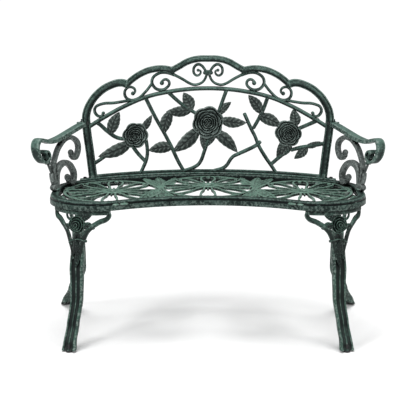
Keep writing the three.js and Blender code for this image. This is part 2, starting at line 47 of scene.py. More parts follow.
mm = 0.001
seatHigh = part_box("seat")[1]
rearEdge = 55  # pattern y of the seat's rear edge, in millimetres
shiftY = seatHigh[1] / mm - rearEdge
seatTop = seatHigh[2] / mm
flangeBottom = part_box("backrest")[0][2] / mm
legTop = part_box("leg_front_left")[1][2] / mm


# Places: flat patterns in millimetres (across, up, depth) become metres in the frame.

def inFrame(x, y, z):
    return np.stack([x, y + shiftY, z], axis=1) * mm


def onSeat(points):
    return inFrame(points[:, 0], points[:, 1], points[:, 2])


backShape = {"radius": 700, "centreY": -656, "lean": 0.16}


def onBack(points):
    x, z, depth = points.T
    y = backShape["centreY"] + np.sqrt(backShape["radius"] ** 2 - x ** 2)
    return inFrame(x, y + backShape["lean"] * (z - flangeBottom) - depth, z)


armShape = {"post": (-385, -45), "base": (-446, -222), "tiltOut": 35, "run": 232, "rise": 155}


def onArm(points):
    s, z, depth = points.T
    run = np.subtract(armShape["base"], armShape["post"])
    ax, ay = run / np.linalg.norm(run)
    out = depth + armShape["tiltOut"] * np.maximum(s, 0) / armShape["run"] * (z - seatTop) / armShape["rise"]
    return inFrame(armShape["post"][0] + s * ax + out * ay, armShape["post"][1] + s * ay - out * ax, z)


armJoint = {"x": 371, "z": 592}  # where an arm's lug lies on the back of the post


def atLeftJoint(points):
    turn = math.asin(armJoint["x"] / backShape["radius"])
    x, y, z = points.T
    jointY = (onBack(np.array([[armJoint["x"], armJoint["z"], 0.0]]))[0, 1]) / mm - shiftY
    return inFrame(x * math.cos(turn) - y * math.sin(turn) - armJoint["x"],
                   x * math.sin(turn) + y * math.cos(turn) + jointY, z + armJoint["z"])


legShapes = {
    "front": {"centre": (318, -258), "radius": 130, "angle": 248.5, "kickAngle": 248.5, "kick": 78,
              "shares": [1.02, 0.9, 0.56, 0.22, 0.03, -0.1, 0, 0.13, 0.02, 0]},
    "rear": {"centre": (262.2, -215), "radius": 177, "angle": 136.6, "kickAngle": 119.6, "kick": 133.5,
             "shares": [1, 0.885, 0.505, 0.08, 0.03, 0.04, 0.07, 0.13, 0.02, 0]},
}
kneeHeights = [0, 20, 70, 147, 210, 265, 310, 352, 381, 400]


def onLeg(shape, side):
    angle, kickAngle = (math.radians(shape[key] if side < 0 else 180 - shape[key])
                        for key in ("angle", "kickAngle"))
    cx, cy = side * shape["centre"][0], shape["centre"][1]

    def place(points):
        s, z, depth = points.T
        i = np.clip(np.searchsorted(kneeHeights, z), 1, len(kneeHeights) - 1)
        z0, z1 = np.take(kneeHeights, i - 1), np.take(kneeHeights, i)
        k0, k1 = np.take(shape["shares"], i - 1), np.take(shape["shares"], i)
        t = (z - z0) / (z1 - z0)
        out = shape["kick"] * (k0 + (k1 - k0) * (t * t * (3 - 2 * t) * 0.5 + t * 0.5))
        turn = angle + s / shape["radius"]
        reach = shape["radius"] + depth
        return inFrame(cx + reach * np.cos(turn) + out * math.cos(kickAngle),
                       cy + reach * np.sin(turn) + out * math.sin(kickAngle), z)
    return place


# Drawing tools: bars, knobs, blocks and drums in pattern millimetres.

def meshCoords(piece):
    coords = np.empty(len(piece.data.vertices) * 3)
    piece.data.vertices.foreach_get("co", coords)
    return coords.reshape(-1, 3)


def setCoords(piece, coords):
    piece.data.vertices.foreach_set("co", np.ascontiguousarray(coords, dtype=float).ravel())
    piece.data.update()


def flip(points):
    return [(-x, y) for x, y in points]


barSections = {
    "round": [(math.cos(i * math.pi / 8), math.sin(i * math.pi / 8)) for i in range(16)],
    "cushion": [(1, -0.55), (1, 0.45), (0.86, 0.84), (0.45, 1), (-0.45, 1), (-0.86, 0.84), (-1, 0.45),
                (-1, -0.55), (-0.8, -1), (0.8, -1)],
    "ridged": [(1, -0.5), (1, 0.1), (0.72, 0.62), (0.28, 0.86), (0, 1), (-0.28, 0.86), (-0.72, 0.62),
               (-1, 0.1), (-1, -0.5), (-0.7, -1), (0.7, -1)],
    "fluted": [(1, 0), (0.95, 0.4), (0.8, 0.68), (0.68, 0.7), (0.6, 0.6), (0.48, 0.84), (0.2, 0.98),
               (-0.2, 0.98), (-0.48, 0.84), (-0.6, 0.6), (-0.68, 0.7), (-0.8, 0.68), (-0.95, 0.4),
               (-1, 0), (-0.85, -0.6), (-0.4, -0.95), (0.4, -0.95), (0.85, -0.6)],
    "legFace": [(1, -0.6), (1, 0.5), (0.9, 0.9), (0.74, 1), (0.62, 0.86), (0.54, 0.5), (0.42, 0.42),
                (0.16, 0.46), (0.08, 0.66), (-0.08, 0.66), (-0.16, 0.46), (-0.42, 0.42), (-0.54, 0.5),
                (-0.62, 0.86), (-0.74, 1), (-0.9, 0.9), (-1, 0.5), (-1, -0.6), (-0.86, -1), (0.86, -1)],
}
sectionCurves = {}


def sectionCurve(name):
    if name not in sectionCurves:
        bpy.ops.curve.primitive_bezier_curve_add()
        drawn = bpy.context.object
        drawn.data.splines.clear()
        drawn.data.dimensions = "2D"
        spline = drawn.data.splines.new("POLY")
        spline.points.add(len(barSections[name]) - 1)
        for point, (across, up) in zip(spline.points, barSections[name]):
            point.co = (across, up, 0, 1)
        spline.use_cyclic_u = True
        sectionCurves[name] = drawn
    return sectionCurves[name]


def drawBar(points, widths, depth=None, section="cushion", middle=0, steps=5, closed=False, roundEnds=True):
    # a curve drawn through the points, given a section, then made a mesh; depth is half the thickness
    points = [tuple(p) for p in points]
    spread = np.interp(np.linspace(0, 1, len(points)), np.linspace(0, 1, len(widths)), widths)
    spread = [w / 2 for w in spread]
    if roundEnds and not closed:
        for end, inner in ((0, 1), (-1, -2)):
            away = np.subtract(points[end], points[inner])
            tip = tuple(np.array(points[end]) + away / np.linalg.norm(away) * spread[end] * 0.45)
            points.insert(0, tip) if end == 0 else points.append(tip)
            spread.insert(0, spread[end] * 0.45) if end == 0 else spread.append(spread[end] * 0.45)
    profile = sectionCurve(section)
    bpy.ops.curve.primitive_bezier_curve_add()
    bar = bpy.context.object
    curve = bar.data
    curve.dimensions = "3D"
    curve.twist_mode = "Z_UP"
    curve.resolution_u = steps
    curve.bevel_mode = "OBJECT"
    curve.bevel_object = profile
    spline = curve.splines[0]
    spline.use_cyclic_u = closed
    spline.bezier_points.add(len(points) - 2)
    for point, (x, y), radius in zip(spline.bezier_points, points, spread):
        point.co = (x, y, 0)
        point.handle_left_type = point.handle_right_type = "AUTO"
        point.radius = radius
    bpy.ops.object.convert(target="MESH")
    bar = bpy.context.object
    coords = meshCoords(bar)
    count = len(barSections[section])
    if depth is not None:
        rings = coords.reshape(-1, count, 3)
        reach = np.abs(rings[:, :, 2]).max(axis=1, keepdims=True)
        ease = np.ones(len(rings))
        if roundEnds and not closed:
            ease[0] = ease[-1] = 0.6
        rings[:, :, 2] *= depth * ease[:, None] / reach
    coords[:, 2] += middle
    setCoords(bar, coords)
    bpy.ops.object.select_all(action="DESELECT")
    return bar


def drawKnob(x, y, radius, depth, middle=0):
    bpy.ops.mesh.primitive_uv_sphere_add(segments=20, ring_count=12, radius=1)
    knob = bpy.context.object
    coords = meshCoords(knob)
    setCoords(knob, coords * (radius, radius, depth) + (x, y, middle))
    bpy.ops.object.select_all(action="DESELECT")
    return knob


def drawBlock(low, high, bevel=1.2):
    bpy.ops.mesh.primitive_cube_add(size=1)
    block = bpy.context.object
    low, high = np.array(low, float), np.array(high, float)
    setCoords(block, (meshCoords(block) + 0.5) * (high - low) + low)
    soften = block.modifiers.new("soften", "BEVEL")
    soften.width = bevel
    soften.segments = 3
    bpy.ops.object.modifier_apply(modifier="soften")
    bpy.ops.object.select_all(action="DESELECT")
    return block


def drawDrum(x, y, radius, low, high, bevel=1, sides=32):
    bpy.ops.mesh.primitive_cylinder_add(vertices=sides, radius=radius, depth=high - low)
    drum = bpy.context.object
    setCoords(drum, meshCoords(drum) + (x, y, (low + high) / 2))
    soften = drum.modifiers.new("soften", "BEVEL")
    soften.width = bevel
    soften.segments = 2
    soften.limit_method = "ANGLE"
    bpy.ops.object.modifier_apply(modifier="soften")
    bpy.ops.object.select_all(action="DESELECT")
    return drum


def finishPiece(name, parts, place, material, node, mirrored=False, smooth=38):
    # joins the parts, closes the bar ends, takes the piece from its flat pattern to its place
    for part in parts:
        part.select_set(True)
    bpy.context.view_layer.objects.active = parts[0]
    if len(parts) > 1:
        bpy.ops.object.join()
    piece = bpy.context.object
    piece.name = piece.data.name = name
    bpy.ops.object.mode_set(mode="EDIT")
    bpy.ops.mesh.select_all(action="SELECT")
    bpy.ops.mesh.fill_holes(sides=0)
    bpy.ops.mesh.select_all(action="SELECT")
    bpy.ops.mesh.normals_make_consistent(inside=False)
    if mirrored:
        bpy.ops.mesh.flip_normals()
    bpy.ops.object.mode_set(mode="OBJECT")
    coords = place(meshCoords(piece))
    if mirrored:
        coords[:, 0] *= -1
    setCoords(piece, coords)
    bpy.ops.object.shade_smooth_by_angle(angle=math.radians(smooth))
    piece.data.materials.clear()
    piece.data.materials.append(material)
    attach(piece, "root")
    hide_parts(node)
    bpy.ops.object.select_all(action="DESELECT")
    return piece


# noise sizes, in cells per metre, and how hard each one shows in the rubbed paint and the cast skin
castGrain = {"cloud": 32, "cloudShare": 0.45, "brush": 150, "brushShare": 0.5, "pits": 420, "ripple": 90,
             "proudShare": 0.6, "bumpStrength": 0.35, "bumpHeight": 0.0006}


def patinaWithPaintedLight(name, look):
    # dark bronze-green paint, rubbed with verdigris where it stands proud; it also carries painted light:
    # more verdigris on faces turned up as a painted top light, and near-black painted shade in the hollows
    material = bpy.data.materials.new(name)
    material.use_nodes = True
    nodes, links = material.node_tree.nodes, material.node_tree.links
    shader = nodes["Principled BSDF"]
    shader.inputs["Metallic"].default_value = look["metallic"]
    shader.inputs["Specular IOR Level"].default_value = look["specular"]
    where = nodes.new("ShaderNodeTexCoord")

    def noise(scale, detail, roughness=0.55):
        node = nodes.new("ShaderNodeTexNoise")
        node.inputs["Scale"].default_value = scale
        node.inputs["Detail"].default_value = detail
        node.inputs["Roughness"].default_value = roughness
        links.new(where.outputs["Object"], node.inputs["Vector"])
        return node.outputs["Fac"]

    def remap(value, low, high, to=(0, 1)):
        node = nodes.new("ShaderNodeMapRange")
        node.interpolation_type = "SMOOTHSTEP"
        node.inputs["From Min"].default_value = low
        node.inputs["From Max"].default_value = high
        node.inputs["To Min"].default_value, node.inputs["To Max"].default_value = to
        links.new(value, node.inputs["Value"])
        return node.outputs["Result"]

    def sums(operation, a, b):
        node = nodes.new("ShaderNodeMath")
        node.operation = operation
        for socket, value in zip(node.inputs, (a, b)):
            if isinstance(value, (int, float)):
                socket.default_value = value
            else:
                links.new(value, socket)
        return node.outputs["Value"]

    def blend(share, first, second):
        node = nodes.new("ShaderNodeMix")
        node.data_type = "RGBA"
        links.new(share, node.inputs["Factor"])
        for socket, value in ((node.inputs[6], first), (node.inputs[7], second)):
            if isinstance(value, tuple):
                socket.default_value = (*value, 1)
            else:
                links.new(value, socket)
        return node.outputs[2]

    shape = nodes.new("ShaderNodeNewGeometry")
    proud = remap(shape.outputs["Pointiness"], 0.5, 0.5 + look["edge"])
    facing = nodes.new("ShaderNodeSeparateXYZ")
    links.new(shape.outputs["Normal"], facing.inputs["Vector"])
    # faces turned up get more verdigris: partly the rubbed patina, partly a painted top light; wash is the
    # level on faces turned sideways or down
    upwardRubAndLight = remap(facing.outputs["Z"], -0.2, 1.0, (look["wash"], look["upwardRubAndLight"]))
    hollow = nodes.new("ShaderNodeAmbientOcclusion")
    hollow.samples = 8
    hollow.inputs["Distance"].default_value = look["hollow"]
    clear = remap(hollow.outputs["AO"], look["shut"], 0.9)  # 1 where nothing stands close by; it keeps the verdigris out of the hollows, and where it drops the paint goes to painted shade
    cloud = remap(noise(castGrain["cloud"], 4), 0.36, 0.64)
    brush = remap(noise(castGrain["brush"], 4, 0.65), 0.34, 0.66)
    # the verdigris share: rubbed proud edges and noise, plus the painted top light from faces turned up
    rubAndTopLight = sums("ADD", sums("MULTIPLY", proud, castGrain["proudShare"]), upwardRubAndLight)
    rubAndTopLight = sums("MULTIPLY", rubAndTopLight, sums("ADD", sums("MULTIPLY", cloud, castGrain["cloudShare"]), 0.65))
    rubAndTopLight = sums("MULTIPLY", rubAndTopLight, sums("ADD", sums("MULTIPLY", brush, castGrain["brushShare"]), 0.6))
    rubAndTopLight = sums("MULTIPLY", rubAndTopLight, clear)
    # the hollows blend from the paint towards near-black: painted shade where light is blocked
    body = blend(clear, look["hollowShade"], look["body"])
    colour = blend(remap(rubAndTopLight, 0.1, look["cover"]), body, look["verdigris"])
    worn = remap(sums("MULTIPLY", proud, brush), 0.4, 0.9, (0, look["worn"]))
    colour = blend(worn, colour, look["bare"])
    links.new(colour, shader.inputs["Base Color"])
    links.new(remap(brush, 0, 1, look["rough"]), shader.inputs["Roughness"])
    bump = nodes.new("ShaderNodeBump")
    bump.inputs["Strength"].default_value = castGrain["bumpStrength"]
    bump.inputs["Distance"].default_value = castGrain["bumpHeight"]
    ripple = sums("MULTIPLY", noise(castGrain["ripple"], 3), 0.6)
    links.new(sums("ADD", noise(castGrain["pits"], 3, 0.6), ripple), bump.inputs["Height"])
    links.new(bump.outputs["Normal"], shader.inputs["Normal"])
    return material


# the near-black first colour is painted shade for the hollows, and the share on faces turned up is partly a
# painted top light
castLook = {"metallic": 0.1, "specular": 0.12, "edge": 0.06, "wash": 0.0, "upwardRubAndLight": 0.55, "hollow": 0.018,
            "shut": 0.4, "hollowShade": (0.002, 0.003, 0.003), "body": (0.014, 0.021, 0.020),
            "verdigris": (0.085, 0.150, 0.125), "cover": 0.7, "bare": (0.28, 0.32, 0.30), "worn": 0.5,
            "rough": (0.3, 0.5)}
framePaint = patinaWithPaintedLight("frame_patina_painted_light", castLook)
# the rim's copy of the cast paint, with a near-black body, darker verdigris and darker bare metal: painted
# shade on the rim's sides
rimShadedPaint = patinaWithPaintedLight("rim_patina_painted_shade", {**castLook, "upwardRubAndLight": 0.5, "body": (0.003, 0.005, 0.005), "cover": 0.95,
                                 "verdigris": (0.065, 0.110, 0.094), "bare": (0.16, 0.20, 0.18),
                                 "specular": 0.08})
# the seat's copy takes a stronger painted top light, and painted shade from hollows farther off
seatPaint = patinaWithPaintedLight("seat_patina_painted_light", {**castLook, "upwardRubAndLight": 0.62, "shut": 0.62, "hollow": 0.03,
                                   "verdigris": (0.115, 0.205, 0.160)})
leafPaint = patinaWithPaintedLight("leaf_patina_painted_light", {**castLook, "wash": 0.24, "shut": 0.2, "hollow": 0.007,
                                   "verdigris": (0.115, 0.145, 0.132), "body": (0.022, 0.028, 0.027),
                                   "bare": (0.32, 0.35, 0.33), "worn": 0.7})
rosePaint = patinaWithPaintedLight("rose_patina_painted_light", {**castLook, "wash": 0.34, "shut": 0.25, "hollow": 0.006, "edge": 0.05,
                                   "verdigris": (0.200, 0.260, 0.240), "body": (0.035, 0.045, 0.042),
                                   "bare": (0.40, 0.45, 0.43), "worn": 0.7})
budPaint = patinaWithPaintedLight("bud_patina_painted_light", {**castLook, "wash": 0.2, "shut": 0.3, "hollow": 0.006, "edge": 0.05,
                                 "verdigris": (0.080, 0.160, 0.120), "body": (0.014, 0.021, 0.020),
                                 "worn": 0.5})
scrollPaint = patinaWithPaintedLight("scroll_patina_painted_light", {**castLook, "wash": 0.2, "verdigris": (0.120, 0.138, 0.134),
                                       "body": (0.026, 0.031, 0.030)})
legPaint = patinaWithPaintedLight("leg_patina_painted_light", {**castLook, "body": (0.012, 0.017, 0.016),
                                 "verdigris": (0.060, 0.115, 0.092)})


def steelFinish():
    material = bpy.data.materials.new("blackened_steel")
    material.use_nodes = True
    nodes, links = material.node_tree.nodes, material.node_tree.links
    shader = nodes["Principled BSDF"]
    shader.inputs["Metallic"].default_value = 0.7
    where = nodes.new("ShaderNodeTexCoord")
    grain = nodes.new("ShaderNodeTexNoise")
    grain.inputs["Scale"].default_value = 300
    grain.inputs["Detail"].default_value = 4
    links.new(where.outputs["Object"], grain.inputs["Vector"])
    ramp = nodes.new("ShaderNodeValToRGB")
    ramp.color_ramp.elements[0].position = 0.35
    ramp.color_ramp.elements[0].color = (0.012, 0.014, 0.014, 1)
    ramp.color_ramp.elements[1].position = 0.7
    ramp.color_ramp.elements[1].color = (0.05, 0.06, 0.056, 1)
    links.new(grain.outputs["Fac"], ramp.inputs["Fac"])
    links.new(ramp.outputs["Color"], shader.inputs["Base Color"])
    rough = nodes.new("ShaderNodeMapRange")
    rough.inputs["To Min"].default_value, rough.inputs["To Max"].default_value = 0.35, 0.6
    links.new(grain.outputs["Fac"], rough.inputs["Value"])
    links.new(rough.outputs["Result"], shader.inputs["Roughness"])
    bump = nodes.new("ShaderNodeBump")
    bump.inputs["Strength"].default_value = 0.2
    bump.inputs["Distance"].default_value = 0.0003
    links.new(grain.outputs["Fac"], bump.inputs["Height"])
    links.new(bump.outputs["Normal"], shader.inputs["Normal"])
    return material


def plasticFinish():
    material = bpy.data.materials.new("black_plastic")
    material.use_nodes = True
    nodes, links = material.node_tree.nodes, material.node_tree.links
    shader = nodes["Principled BSDF"]
    where = nodes.new("ShaderNodeTexCoord")
    grain = nodes.new("ShaderNodeTexNoise")
    grain.inputs["Scale"].default_value = 500
    links.new(where.outputs["Object"], grain.inputs["Vector"])
    ramp = nodes.new("ShaderNodeValToRGB")
    ramp.color_ramp.elements[0].color = (0.008, 0.008, 0.009, 1)
    ramp.color_ramp.elements[1].color = (0.022, 0.022, 0.024, 1)
    links.new(grain.outputs["Fac"], ramp.inputs["Fac"])
    links.new(ramp.outputs["Color"], shader.inputs["Base Color"])
    rough = nodes.new("ShaderNodeMapRange")
    rough.inputs["To Min"].default_value, rough.inputs["To Max"].default_value = 0.55, 0.75
    links.new(grain.outputs["Fac"], rough.inputs["Value"])
    links.new(rough.outputs["Result"], shader.inputs["Roughness"])
    return material


steel = steelFinish()
plastic = plasticFinish()
for name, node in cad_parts.items():
    if any(word in name for word in ("bolt", "nut", "screw", "washer")):
        for slot in node.material_slots:
            slot.material = steel
print("materials ready")


# A leaf and two roses are modelled once and copied.
leafShape = {"along": 30, "across": 14, "arch": 0.15, "rib": 0.06, "ribWidth": 0.13,
             "veins": 6, "veinDepth": 0.028, "thick": 0.10}


def modelLeaf():
    bpy.ops.mesh.primitive_grid_add(x_subdivisions=leafShape["along"], y_subdivisions=leafShape["across"],
                                    size=1)
    leaf = bpy.context.object
    t, a, _ = (meshCoords(leaf) + (0.5, 0, 0)).T
    a = a * 2
    t = np.clip(t, 0, 1)
    half = 0.5 * np.sin(math.pi * t ** 0.86) ** 0.8
    edge = 1 + 0.03 * np.abs(a) ** 6 * np.sin(2 * math.pi * leafShape["veins"] * t)
    vein = np.cos(2 * math.pi * leafShape["veins"] * (t - 0.16 * np.abs(a)))
    body = np.minimum(1, half * 4)  # fades the relief out at the stalk and the tip
    up = leafShape["arch"] * (1 - np.abs(a) ** 2.2) * body
    up -= leafShape["rib"] * np.exp(-(a / leafShape["ribWidth"]) ** 2) * body
    veinFade = (1 - np.abs(a) ** 3) * np.minimum(1, np.abs(a) * 4) * np.minimum(1, half * 3)
    up += leafShape["veinDepth"] * vein * veinFade
    setCoords(leaf, np.stack([t, a * half * edge, up], axis=1))
    bpy.ops.object.mode_set(mode="EDIT")
    bpy.ops.mesh.select_all(action="SELECT")
    bpy.ops.mesh.remove_doubles(threshold=0.002)
    bpy.ops.object.mode_set(mode="OBJECT")
    shell = leaf.modifiers.new("shell", "SOLIDIFY")
    shell.thickness = leafShape["thick"]
    shell.offset = -1
    bpy.ops.object.modifier_apply(modifier="shell")
    bpy.ops.object.select_all(action="DESELECT")
    return leaf


leafMaster = modelLeaf()
leafCoords = meshCoords(leafMaster)


def drawLeaf(base, tip, width, middle=0, curl=0.05, deep=1.0):
    leaf = bpy.data.objects.new("leaf", leafMaster.data.copy())
    bpy.context.collection.objects.link(leaf)
    (x0, y0), (x1, y1) = base, tip
    length = math.hypot(x1 - x0, y1 - y0)
    ux, uy = (x1 - x0) / length, (y1 - y0) / length
    t, a, up = leafCoords.T
    along = (t * 1.06 - 0.06) * length
    side = a * width + curl * length * np.sin(math.pi * t)
    setCoords(leaf, np.stack([x0 + ux * along - uy * side, y0 + uy * along + ux * side,
                              middle + up * width * deep], axis=1))
    return leaf


roseShape = {"sides": 90, "rings": 44, "rows": [1.0, 0.80, 0.62, 0.46, 0.32, 0.20, 0.10],
             "petals": [6, 6, 5, 5, 4, 3, 2], "wave": 0.11, "height": 0.36, "lip": 0.11}


def roseHeight(s, turn, shape):
    edges = [size * (1 + shape["wave"] * (np.abs(np.cos(count * (turn - 0.9 * i) / 2)) - 0.7))
             for i, (size, count) in enumerate(zip(shape["rows"], shape["petals"]))]
    high = np.zeros_like(s)
    for i, edge in enumerate(edges):
        inner = edges[i + 1] if i + 1 < len(edges) else edge * 0
        t = np.clip((s - inner) / np.maximum(edge - inner, 1e-3), 0, 1)
        notch = 1 - np.abs(np.cos(shape["petals"][i] * (turn - 0.9 * i) / 2))
        base = shape["height"] * (0.35 + 0.65 * (i / (len(edges) - 1)) ** 0.8)
        lip = shape["lip"] * (t ** 1.6 - 0.55 * (1 - t) ** 2) - 0.05 * notch ** 3
        inside = s <= edge
        high = np.where(inside, base + lip, high)
    return high


def modelRose(shape):
    bpy.ops.mesh.primitive_cylinder_add(vertices=shape["sides"], radius=1, depth=0.2)
    rose = bpy.context.object
    bpy.ops.object.mode_set(mode="EDIT")
    bpy.ops.mesh.select_all(action="DESELECT")
    bpy.ops.object.mode_set(mode="OBJECT")
    for face in rose.data.polygons:
        face.select = face.normal.z > 0.9
    bpy.ops.object.mode_set(mode="EDIT")
    for _ in range(shape["rings"]):
        bpy.ops.mesh.inset(thickness=0.97 / shape["rings"])
    bpy.ops.object.mode_set(mode="OBJECT")
    x, y, z = meshCoords(rose).T
    s, turn = np.hypot(x, y), np.arctan2(y, x)
    front = z > 0
    rim = 1 + shape["wave"] * (np.abs(np.cos(shape["petals"][0] * turn / 2)) - 0.7)
    high = np.where(front & (s < 0.999), roseHeight(s * rim, turn, shape), np.where(front, 0.10, -0.14))
    setCoords(rose, np.stack([x * rim, y * rim, high], axis=1))
    bpy.ops.object.select_all(action="DESELECT")
    return rose


roseMaster = modelRose(roseShape)
budMaster = modelRose({**roseShape, "rows": [1.0, 0.74, 0.48, 0.22], "petals": [5, 5, 4, 3], "wave": 0.05,
                       "rings": 32, "sides": 60, "lip": 0.16, "height": 0.34})


def drawRose(x, y, radius, middle, master, turned=0, deep=1.0):
    rose = bpy.data.objects.new("rose", master.data.copy())
    bpy.context.collection.objects.link(rose)
    px, py, up = meshCoords(rose).T
    c, s = math.cos(turned), math.sin(turned)
    setCoords(rose, np.stack([x + radius * (c * px - s * py), y + radius * (s * px + c * py),
                              middle + radius * deep * up], axis=1))
    return rose


print("leaf and rose modelled")

seatPlan = {
    "rear": (0, -656, 711), "front": (0, -848, 530), "corner": (330, -178, 130), "lobe": (318, -258, 140),
    "motifs": [(0, -116, -131, 143, 158), (-281, -204, -203, 145, 158), (281, -204, -203, 145, 158)],
    "middle": 411, "half": 4,
}


def arc(centre, start, end, steps, inset=0):
    x, y, radius = centre
    turns = np.radians(np.linspace(start, end, steps))
    return [(x + (radius - inset) * math.cos(a), y + (radius - inset) * math.sin(a)) for a in turns]


def seatOutline(inset):
    right = (arc(seatPlan["front"], 90, 62, 30, -inset)[1:-1]
             + arc(seatPlan["lobe"], 242, 360, 56, inset)
             + arc(seatPlan["corner"], 0, 54, 24, inset)[1:]
             + arc(seatPlan["rear"], 55.5, 90, 40, inset)[:-1])
    top = (0, seatPlan["rear"][1] + seatPlan["rear"][2] - inset)
    bottom = (0, seatPlan["front"][1] + seatPlan["front"][2] + inset)
    return [bottom] + right + [top] + flip(right)[::-1]


# inset from the outline and height over the seat's top, round the rim from its lower outer corner
rimSection = [(0, -25), (0, -12.5), (0.6, -10.4), (2.2, -9.6), (2.5, -8.4), (1.8, -6.8), (2.0, -3.4),
              (3.2, -1.2), (5.5, 0), (9.0, -0.5), (12.5, -1.6), (16, -0.5), (20, 0), (23.2, -1.2),
              (24.6, -3.6), (24.6, -8), (23, -10), (23, -24.2), (21.8, -25)]


def modelRim():
    # the outline drawn once for each corner of the section, bridged round
    rings = [seatOutline(inset) for inset, _ in rimSection]
    count = len(rings[0])
    verts = [(x, y, seatTop + up) for ring, (_, up) in zip(rings, rimSection) for x, y in ring]
    faces = []
    for k in range(len(rings)):
        after = (k + 1) % len(rings)
        for i in range(count):
            j = (i + 1) % count
            faces.append((k * count + i, k * count + j, after * count + j, after * count + i))
    mesh = bpy.data.meshes.new("rim")
    mesh.from_pydata(verts, [], faces)
    rim = bpy.data.objects.new("rim", mesh)
    bpy.context.collection.objects.link(rim)
    return rim


finishPiece("seat_rim", [modelRim()], onSeat, rimShadedPaint, "seat", smooth=50)


def motifBars(motif):
    x, hubY, bandY, a, b = motif
    around = np.radians(np.arange(0, 360, 15))
    bars = [drawBar([(x + (a - 4.5) * math.cos(k), bandY + (b - 4.5) * math.sin(k)) for k in around], [9],
                    seatPlan["half"], "cushion", seatPlan["middle"], closed=True, steps=4)]
    hub = np.radians(np.arange(0, 360, 45))
    bars.append(drawBar([(x + 26 * math.cos(k), hubY + 20 * math.sin(k)) for k in hub], [17],
                        seatPlan["half"] + 1, "ridged", seatPlan["middle"] + 0.5, closed=True, steps=5))
    bars.append(drawBar([(x + 40 * math.cos(k), hubY + 33 * math.sin(k)) for k in hub], [5],
                        seatPlan["half"] - 1, "round", seatPlan["middle"] - 1, closed=True, steps=5))
    for degrees in (0, 52, 90, 128, 180, 222, 270, 318):
        turn = math.radians(degrees)
        ux, uy = math.cos(turn), math.sin(turn)
        reach = 1 / math.hypot(ux / a, uy / b) - 3

        def at(t, side):
            return (x + ux * reach * t - uy * side, hubY * (1 - t) + bandY * t + uy * reach * t + ux * side)
        loop = [at(0.17, 0), at(0.42, -13), at(0.7, -21), at(0.93, -16), at(0.985, 0), at(0.93, 16),
                at(0.7, 21), at(0.42, 13)]
        bars.append(drawBar(loop, [6.5], seatPlan["half"], "cushion", seatPlan["middle"], closed=True,
                            steps=5))
        bars.append(drawBar([at(0.16, 0), at(0.34, 0)], [10, 4], 3.4, "ridged", seatPlan["middle"]))
        bars.append(drawKnob(*at(0.95, 0), 7.5, 4.6, seatPlan["middle"] + 0.4))
    return bars


finishPiece("seat_openwork", [bar for motif in seatPlan["motifs"] for bar in motifBars(motif)],
            onSeat, seatPaint, "seat")

seatSprays = [
    ((141, -118), (100, 22), 44), ((143, -112), (160, 20), 46), ((146, -118), (206, 8), 40),
    ((141, -160), (86, -312), 40), ((141, -160), (136, -326), 44), ((145, -160), (196, -346), 42),
    ((402, -110), (372, -44), 44), ((420, -150), (412, -78), 36), ((424, -270), (410, -352), 40),
    ((396, -330), (352, -384), 36),
]
seatLeaves = []
for base, tip, width in seatSprays:
    seatLeaves.append(drawLeaf(base, tip, width * 0.84, 410, 0.04, 0.9))
    seatLeaves.append(drawLeaf(*flip([base, tip]), width * 0.84, 410, -0.04, 0.9))
seatLeaves += [drawKnob(x, y, 14, 5, 411) for x, y in
               ((-12, -296), (12, -296), (-262, -374), (-238, -368), (262, -374), (238, -368))]
seatLeaves += [drawKnob(x, -138, 17, 6.5, 411) for x in (-142, 142)]
finishPiece("seat_leaves", seatLeaves, onSeat, seatPaint, "seat")

legPlaces = {f"{end}_{hand}": (onLeg(legShapes[end], side), legShapes[end], side)
             for end in ("front", "rear") for hand, side in (("left", -1), ("right", 1))}
legScrew = {"span": 58, "inset": 14, "reach": 1.15}


def screwPlace(place, end):
    foot = place(np.array([[end * legScrew["span"], legTop, -legScrew["inset"]]]))[0] / mm
    return foot[0], foot[1] - shiftY


bosses = []
for place, shape, side in legPlaces.values():
    for end in (-1, 1):
        x, y = screwPlace(place, end)
        cx, cy = side * shape["centre"][0], shape["centre"][1]
        bosses.append(drawDrum(x, y, 12, 395, 414, 1.5))
        outer = (cx + (x - cx) * legScrew["reach"], cy + (y - cy) * legScrew["reach"])
        bosses.append(drawBar([(x, y), outer], [19, 20], 8, "cushion", 405))
finishPiece("seat_bosses", bosses, onSeat, framePaint, "seat")
print("seat done")

backFrame = {
    "side": [(352, 421), (361, 500), (371, 586), (371, 618), (360, 648), (334, 680), (300, 700), (268, 706),
             (251, 701)],
    "shoulder": [(251, 701), (232, 717), (203, 734), (170, 744), (138, 745), (112, 740)],
    "crown": [(-112, 740), (-92, 750.5), (-63, 766), (-33, 773.5), (0, 774.5), (33, 773.5), (63, 766),
              (92, 750.5), (112, 740)],
    "arch": [(-362, 580), (-310, 609), (-252, 637), (-190, 660), (-120, 674), (-55, 681), (0, 683),
             (55, 681), (120, 674), (190, 660), (252, 637), (310, 609), (362, 580)],
}
frameBars = [drawBar(backFrame["crown"], [20.5], 9.5, "fluted", steps=7)]
for turnOver in (list, flip):
    frameBars.append(drawBar(turnOver(backFrame["side"]), [25, 24, 24], 10, "fluted", steps=7,
                             roundEnds=False))
    frameBars.append(drawBar(turnOver(backFrame["shoulder"]), [20.5], 9.5, "fluted", steps=6))
    frameBars += [drawKnob(x, z, 11.5, 10) for x, z in turnOver([(251, 701), (112, 740)])]
finishPiece("back_frame", frameBars, onBack, framePaint, "backrest")
railBars = [drawBar(backFrame["arch"], [13], 7, "ridged", steps=7)]
finishPiece("back_arch", railBars, onBack, framePaint, "backrest")

flangePoints = [(x, flangeBottom + 2.5) for x in range(-390, 391, 60)]
flange = drawBar(flangePoints, [5], 11, "cushion", steps=4, roundEnds=False)
sillPoints = [(x, 427) for x in range(-356, 357, 89)]
sill = drawBar(sillPoints, [12], 4, "cushion", steps=5, roundEnds=False)
finishPiece("back_flange", [flange, sill], onBack, framePaint, "backrest")

